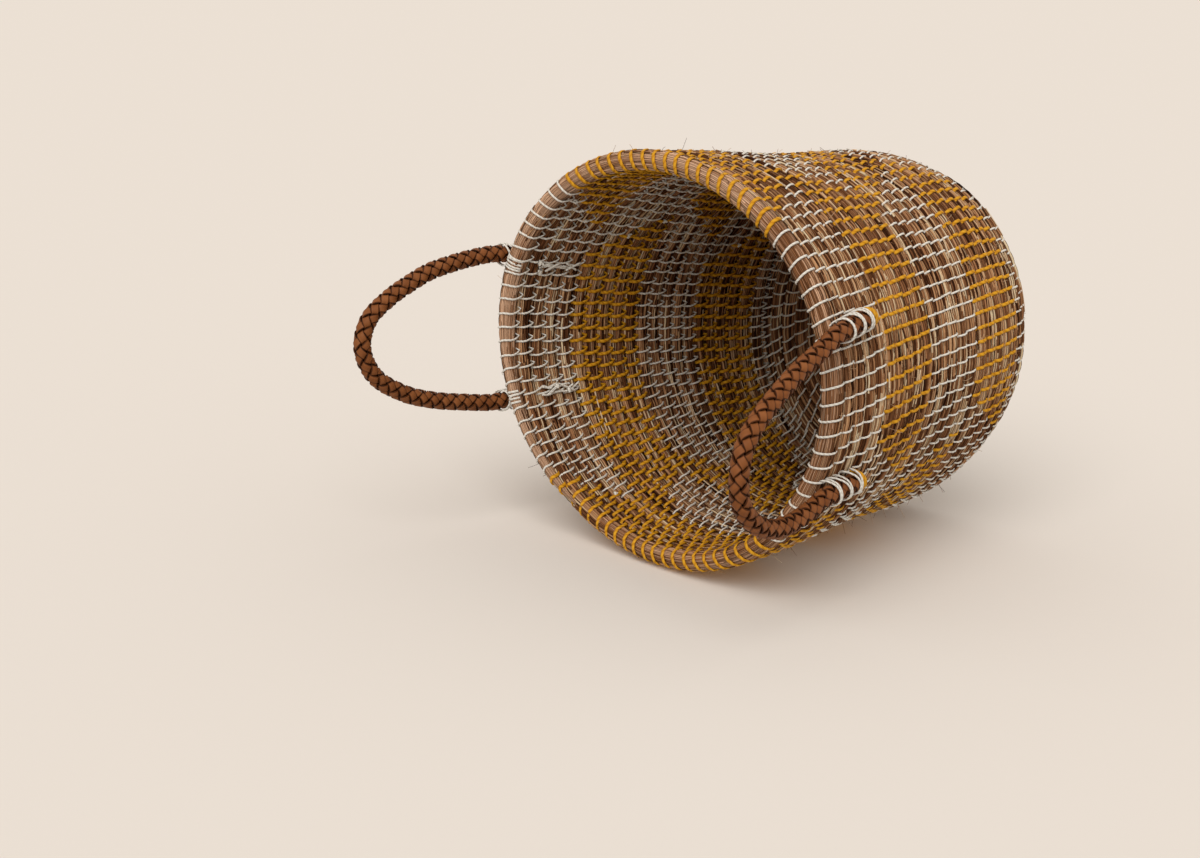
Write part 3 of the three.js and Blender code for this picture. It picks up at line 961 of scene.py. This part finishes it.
braid_ways = {
    1: ("right", braid_finish("braid_right", 0)),
    -1: ("left", braid_finish("braid_left", 1 / 2)),
}
braid_core = core_finish("braid_core")
handle_ends = {}
for name, handle in HANDLES.items():
    path, lows, pivots = handle_path(handle)
    handle_ends[name] = (lows, pivots)
    rope, along = even_steps(path, STRIP_STEP)
    normal, beside = steady_normals(rope, (1, 0, 0))
    weaves = round(STRIPS_EACH_WAY * along[-1] / BRAID_PITCH)
    inner = slice(CORE_SHORTER, -CORE_SHORTER)
    core = thread_tube(rope[inner], normal[inner], (CORE_HALF, CORE_HALF), CORE_SIDES)
    parts = [("core", [core], braid_core)]
    for way, (side, material) in braid_ways.items():
        strips = braid_strips(rope, along, normal, beside, way, weaves)
        parts.append((f"braid_{side}", strips, material))
    below = (pivots["a"][0], 0, pivots["a"][2] - BLEND_BELOW)
    above = (pivots["a"][0], 0, pivots["a"][2] + BLEND_ABOVE)
    for part, tubes, material in parts:
        piece = as_piece(rolled_up(f"{name}_{part}", tubes, [weaves] * len(tubes)), material)
        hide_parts(name, f"{name}_end_a", f"{name}_end_b")
        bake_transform(piece)

# Lashings of the handle ends
# Doubled white twine is sewn over each handle end and through the wall, and yellow strip over the tip.
# The far handle's twine goes over the rim as well. Inside the basket the twine's ends show as a loose
# bunch of strands that run down the wall, with small knots.
LASHING_HEIGHTS = [0.0082, 0.0198, 0.0325]
LASHING_STRAY = 0.0007
LASHING_HALF = (0.0008, 0.0006)
LASHING_BESIDE = 0.00065
LASHING_PARTING = (0.0006, 0.0024)
LASHING_OVER = 0.0005
ENTRY_ABOVE_LEVEL = 0.0035
HIGHEST_ENTRY = SEWN_DEPTH + ENTRY_ABOVE_LEVEL
LASHING_REACH = 0.0067
LASHING_SIDE = 0.0072
LASHING_DEPTH = 0.0115
LASHING_SLANT = (0.001, 0.005)
TIP_STITCH_HEIGHTS = [0.0003, 0.0022]
TIP_STITCH_REACH = 0.0057
TIP_STITCH_SIDE = 0.0056
TIP_STITCH_SLANT = 0.003
TIP_STITCH_HALF = (0.0012, 0.0009)
WRAP_STEPS = 26
WRAP_HALF_ANGLE = math.radians(165)
RIM_WRAP_SPACING = 0.0017
RIM_WRAP_STRAY = 0.0008
RIM_WRAP_FROM = math.radians(50)
RIM_WRAP_TO = math.radians(165)
BUNCH_TOP = 0.009
BUNCH_BOTTOM = 0.053
BUNCH_STRANDS = 3
BUNCH_POINTS = 6
BUNCH_WIDTH = 0.0055
BUNCH_SWAY = 0.0008
CROSS_STRANDS = 4
CROSS_LENGTH = 0.011
TIES = 2
TIE_RADIUS = 0.0011
TIE_WINDS = 2.5
TIE_TAIL = 0.005
TIE_TAIL_STAND = 2
STRAND_LIFT = (0.0007, 0.0022)
STRAND_STEPS = 8
STRAND_STEP = 0.0012
LASHING_SEED = 21
LEVEL = np.array([1, 1, 0])


def wrap_path(low, up, out, height, slant, reach, aside, parting=0.0):
    """One wrap of thread over a handle end, its two ends parting towards the wall and sunk in it."""
    beside = np.cross(up, out)
    turn = np.linspace(-WRAP_HALF_ANGLE, WRAP_HALF_ANGLE, WRAP_STEPS)
    facing = np.cos(turn)
    away = np.where(facing > 0, reach * facing, LASHING_DEPTH * facing)
    side = aside * np.sin(turn)
    lift = np.minimum(height + slant * turn / math.pi + parting * (1 - facing), HIGHEST_ENTRY)
    path = low + away[:, None] * out + side[:, None] * beside + lift[:, None] * up
    return path, way_at(turn, out, beside)


def rim_wrap_path(angle):
    """A strand on the rim beside a handle, from the top of the rim down its inside."""
    turns_round = (angle - START_ANGLE) / FULL_TURN
    rim_start = RIM_END_TURN - 1
    turn = rim_start + (turns_round - rim_start) % 1
    middle, out, up, half_out, half_up = coil_line(np.full(WRAP_STEPS, turn))
    round_rim = np.linspace(RIM_WRAP_FROM, RIM_WRAP_TO, WRAP_STEPS)
    normals = way_at(round_rim, out, up)
    return middle + (half_out + RIDGE + THREAD_LIFT)[:, None] * normals, normals


def inside_wall(angle, depth, lift):
    """A point on the inside of the wall, at a depth below the level of the handles."""
    return beside_wall(angle, HANDLE_LEVEL - depth, -COIL_OUT - RIDGE - lift)


def strand_through(points):
    """A loose strand through points on the inside of the wall."""
    path = even_steps(smooth_path(points, STRAND_STEPS), STRAND_STEP)[0]
    return path, unit(-path * LEVEL)


def bunch_strand(angle, dice):
    """A strand of the sewing thread, from below the rim down the inside of the wall."""
    first = dice.uniform(BUNCH_TOP, BUNCH_TOP + CROSS_LENGTH)
    last = dice.uniform(BUNCH_BOTTOM - 2 * CROSS_LENGTH, BUNCH_BOTTOM)
    aside = dice.uniform(-BUNCH_WIDTH, BUNCH_WIDTH) / 2
    points = []
    for depth in np.linspace(first, last, BUNCH_POINTS):
        swayed = angle + (aside + dice.normal(0, BUNCH_SWAY)) / WAIST_RADIUS
        points.append(inside_wall(swayed, depth, dice.uniform(*STRAND_LIFT)))
    return strand_through(points)


def cross_strand(angle, dice):
    """A short strand across the others."""
    depth = dice.uniform(BUNCH_TOP, BUNCH_BOTTOM - CROSS_LENGTH)
    lean = dice.choice([-1, 1]) * BUNCH_WIDTH / WAIST_RADIUS
    return strand_through([
        inside_wall(angle + lean * (share - 1 / 2), depth + share * CROSS_LENGTH, STRAND_LIFT[1])
        for share in np.linspace(0, 1, BUNCH_POINTS)])


def tied_knot(middle, radius, tail_length, dice):
    """A small knot, wound from the end of a strand, with a short tail that stands off the wall."""
    inward = unit(-middle * LEVEL)
    sideways = np.cross(RISE, inward)
    wind = np.linspace(0, TIE_WINDS * FULL_TURN, WRAP_STEPS)
    rings = way_at(wind, inward, RISE) + wind[:, None] / FULL_TURN * sideways
    points = middle + radius * rings
    tail = unit(dice.normal(size=len(middle)) + TIE_TAIL_STAND * inward)
    return strand_through(np.vstack([points, points[-1] + tail_length * tail]))


def knot_strand(angle, dice):
    """A knot among the strands of the bunch."""
    depth = dice.uniform(BUNCH_TOP, BUNCH_BOTTOM)
    aside = dice.normal(0, BUNCH_WIDTH / 2) / WAIST_RADIUS
    return tied_knot(inside_wall(angle + aside, depth, STRAND_LIFT[1]), TIE_RADIUS, TIE_TAIL, dice)


def tubes_along(strands, halves):
    """Rings and lengths of threads, for a list of paths with their normals."""
    return [thread(path, normals, halves) for path, normals in strands]


dice = np.random.default_rng(LASHING_SEED)
for name, handle in HANDLES.items():
    lows, pivots = handle_ends[name]
    for end in handle["ends"]:
        low = lows[end]
        up = unit(pivots[end] - low)
        out = low * LEVEL
        out = unit(out - up * np.dot(out, up))
        strands = []
        for height in LASHING_HEIGHTS:
            height = height + dice.uniform(-LASHING_STRAY, LASHING_STRAY)
            slant = dice.uniform(*LASHING_SLANT)
            for side in (1, -1):
                parting = side * dice.uniform(*LASHING_PARTING)
                reach = LASHING_REACH + dice.uniform(0, LASHING_OVER)
                beside = height + side * LASHING_BESIDE
                strands.append(wrap_path(low, up, out, beside, slant, reach, LASHING_SIDE, parting))
        angle = math.atan2(low[1], low[0])
        for wrap in range(handle["rim_wraps"]):
            aside = (wrap - handle["rim_wraps"] / 2) * RIM_WRAP_SPACING + dice.normal(0, RIM_WRAP_STRAY)
            strands.append(rim_wrap_path(angle + aside / WAIST_RADIUS))
        strands += [bunch_strand(angle, dice) for strand in range(BUNCH_STRANDS)]
        strands += [cross_strand(angle, dice) for strand in range(CROSS_STRANDS)]
        strands += [knot_strand(angle, dice) for strand in range(TIES)]
        twine_tubes = tubes_along(strands, LASHING_HALF)
        twine = thread_piece(f"{name}_lashing_{end}_twine", twine_tubes, white_twine)
        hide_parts(f"{name}_lashing_{end}")
        tip_strands = [
            wrap_path(low, up, out, height, TIP_STITCH_SLANT, TIP_STITCH_REACH, TIP_STITCH_SIDE)
            for height in TIP_STITCH_HEIGHTS]
        tip_tubes = tubes_along(tip_strands, TIP_STITCH_HALF)
        strip = thread_piece(f"{name}_stitch_{end}_strip", tip_tubes, yellow_strip)
        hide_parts(f"{name}_stitch_{end}")

# Tied thread ends
# Wherever the thread changes colour, its old and new ends are tied together on the inside of the wall.
# Some of these small knots and their short tails show there among the stitches.
TIED_SHARE = 0.4
TIED_WHITE = 0.75
TIED_HALF = (0.0007, 0.0006)
TIED_RADIUS = 0.0008
TIED_TAIL = 0.003
TIED_LIFT = 0.001
TIED_SEED = 31

dice = np.random.default_rng(TIED_SEED)
ties = {True: [], False: []}
for number in colour_changes:
    turn = turn_of_stitch([number + 1 / 2 + INSIDE_CURL])
    shows = dice.random() < TIED_SHARE
    white = dice.random() < TIED_WHITE
    if shows and turn[0] > 0:
        middle, out, up, half_out, half_up = coil_line(turn)
        on_inside = middle - (half_out + TIED_LIFT)[:, None] * out
        ties[white].append(tied_knot(on_inside[0], TIED_RADIUS, TIED_TAIL, dice))
for white, (colour_name, material, slot) in THREADS.items():
    thread_piece(f"{colour_name}_tied_ends", tubes_along(ties[white], TIED_HALF), material)

# Stray straws and fuzz
# Single stalks that have slipped out of the bundle lie loose on the rows between the stitches,
# and short dry fibres stand off the outside of the wall.
STRAY_STRAWS = 3000
STRAY_LONG = (0.01, 0.034)
STRAY_HALF = (0.0003, 0.00075)
STRAY_FLATNESS = 0.7
STRAY_RINGS = 6
STRAY_SIDES = 4
STRAY_LIFT = (-0.0005, 0.0)
STRAY_OUTSIDE = 0.6
STRAY_SPREAD = 0.95
STRAY_LEAN = 0.4
STRAY_FREE = 0.0006
STRAY_BEND = 4
STREAKS_ROUND = 2 * FIBRES_PER_STALK
STREAK_DETAIL = 2.0
FUZZ_FIBRES = 700
FUZZ_FROM_TURN = 1
FUZZ_LONG = (0.002, 0.008)
FUZZ_HALF = 0.00013
FUZZ_RINGS = 5
FUZZ_SIDES = 3
FUZZ_SPREAD = 1.2
FUZZ_STAND = 0.8
FUZZ_CURL = 0.6
FUZZ_BEND = 2
STRAY_SEED = 5
STRAY_TONES = [
    (0.0, (0.05, 0.016, 0.006, 1)),
    (0.35, (0.2, 0.085, 0.036, 1)),
    (0.7, (0.5, 0.28, 0.14, 1)),
    (1.0, (0.8, 0.63, 0.42, 1)),
]


def on_bundle(turn, angle, lift):
    """A point on the bundle's skin, and the way out from it."""
    middle, out, up, half_out, half_up = coil_line(turn)
    reach = boxy_reach(angle, half_out, half_up) + lift
    away = way_at(angle, out, up)
    return middle + reach[:, None] * away, away


def stray_straw(dice):
    """A loose stalk that follows the bundle, its ends slightly free."""
    share = np.linspace(0, 1, STRAY_RINGS)
    length = dice.uniform(*STRAY_LONG)
    first, last = arc_at(turn_of_stitch([first_stitch, last_stitch]))
    begin = dice.uniform(first, last - STRAY_LONG[1])
    turn = np.interp(begin + share * length, table_arcs, table_turns)
    facing = 0.0 if dice.random() < STRAY_OUTSIDE else math.pi
    facing = facing + dice.uniform(-STRAY_SPREAD, STRAY_SPREAD)
    angle = facing + dice.uniform(-STRAY_LEAN, STRAY_LEAN) * share
    free = max(0, dice.normal(0, STRAY_FREE)) * share ** STRAY_BEND
    path, away = on_bundle(turn, angle, RIDGE + dice.uniform(*STRAY_LIFT) + free)
    half = dice.uniform(*STRAY_HALF)
    return thread_tube(path, away, (half, half * STRAY_FLATNESS), STRAY_SIDES)


def fuzz_fibre(dice):
    """A short fibre that stands off the bundle and curls over."""
    length = dice.uniform(*FUZZ_LONG)
    turn = np.array([dice.uniform(FUZZ_FROM_TURN, turn_of_stitch(last_stitch))])
    angle = np.array([dice.uniform(-FUZZ_SPREAD, FUZZ_SPREAD)])
    root, away = on_bundle(turn, angle, 0)
    lean = unit(dice.normal(size=away.shape))
    share = np.linspace(0, 1, FUZZ_RINGS)[:, None]
    path = root + length * (share * away * FUZZ_STAND + share ** FUZZ_BEND * lean * FUZZ_CURL)
    normals = np.tile(np.cross(away, lean), (FUZZ_RINGS, 1))
    return thread_tube(path, normals, (FUZZ_HALF, FUZZ_HALF), FUZZ_SIDES)


def straw_finish(name):
    """Single stalks, each with a tone of its own and fine streaks along it."""
    material, shader, start = new_finish(name, GRASS_ROUGHNESS, GRASS_GLOSS)
    around, along = round_and_along(start)
    tone = dice_roll(start, start.maths("FLOOR", along))
    streak = noise(start, around * STREAKS_ROUND, along * FIBRE_WAVES, STREAK_DETAIL)
    shade = tone * GRASS_CONTRAST + streak * FIBRE_SHARE - FIBRE_SHARE / 2
    connect(toned(start, STRAY_TONES, shade), shader, "Base Color")
    return material


straw = straw_finish("straw")
dice = np.random.default_rng(STRAY_SEED)
stray_tubes = [stray_straw(dice) for count in range(STRAY_STRAWS)]
fuzz_tubes = [fuzz_fibre(dice) for count in range(FUZZ_FIBRES)]
for name, tubes in [("stray_straws", stray_tubes), ("fuzz", fuzz_tubes)]:
    strays = as_piece(rolled_up(name, tubes, [1.0] * len(tubes)), straw)
    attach(strays, "basket")

# Floor and light
# A plain pale studio floor touches the side that the basket lies on in the photograph.
# Soft light comes from above and from the mouth's side, and the room fills the shadows.
FLOOR_POINT = Vector((0, -0.1352, 0.258))
FLOOR_UP = Vector((0, 0.9998, 0.0208)).normalized()
FLOOR_SIZE = 40.0
FLOOR_ROUGHNESS = 0.9
FLOOR_COLOUR = (0.84, 0.765, 0.69, 1)
ROOM_COLOUR = FLOOR_COLOUR
ROOM_LIGHT = (1.0, 0.97, 0.93, 1)
ROOM_STRENGTH = 0.62
KEY_TOWARDS = Vector((0.36, 0.66, 0.62)).normalized()
KEY_STRENGTH = 1.7
KEY_SPREAD = math.radians(50)

floor_mesh = bpy.data.meshes.new("floor")
work = bmesh.new()
lay_flat = Matrix.Translation(FLOOR_POINT) @ FLOOR_UP.to_track_quat("Z", "Y").to_matrix().to_4x4()
bmesh.ops.create_grid(work, x_segments=1, y_segments=1, size=FLOOR_SIZE, matrix=lay_flat)
work.to_mesh(floor_mesh)
work.free()
floor_material, floor_shader, start = new_finish("floor", FLOOR_ROUGHNESS)
floor_shader.inputs["Base Color"].default_value = FLOOR_COLOUR
behind = start.node("ShaderNodeNewGeometry", output="Backfacing")
clear = start.node("ShaderNodeBsdfTransparent")
solid = Wire(start.tree, floor_shader.outputs[0])
shown = start.node("ShaderNodeMixShader", sockets={0: behind, 1: solid, 2: clear})
connect(shown, floor_material.node_tree.nodes["Material Output"], "Surface")
floor = as_piece(floor_mesh, floor_material)
floor.visible_shadow = False
floor.visible_diffuse = False

world = bpy.data.worlds.new("room")
scene.world = world
world.use_nodes = True
room = Wire(world.node_tree)
rays = room.node("ShaderNodeLightPath", output="Is Camera Ray")
ray_node = rays.socket.node
glossy = Wire(world.node_tree, ray_node.outputs["Is Glossy Ray"])
through = Wire(world.node_tree, ray_node.outputs["Is Transmission Ray"])
seen = room.maths("MAXIMUM", rays, room.maths("MAXIMUM", glossy, through))
lighting = room.node("ShaderNodeBackground", sockets={"Color": ROOM_LIGHT, "Strength": ROOM_STRENGTH})
backdrop = room.node("ShaderNodeBackground", sockets={"Color": ROOM_COLOUR})
surroundings = room.node("ShaderNodeMixShader", sockets={0: seen, 1: lighting, 2: backdrop})
connect(surroundings, world.node_tree.nodes["World Output"], "Surface")

key = bpy.data.objects.new("key_light", bpy.data.lights.new("key_light", "SUN"))
key.data.energy = KEY_STRENGTH
key.data.angle = KEY_SPREAD
key.matrix_world = KEY_TOWARDS.to_track_quat("Z", "Y").to_matrix().to_4x4()
scene.collection.objects.link(key)
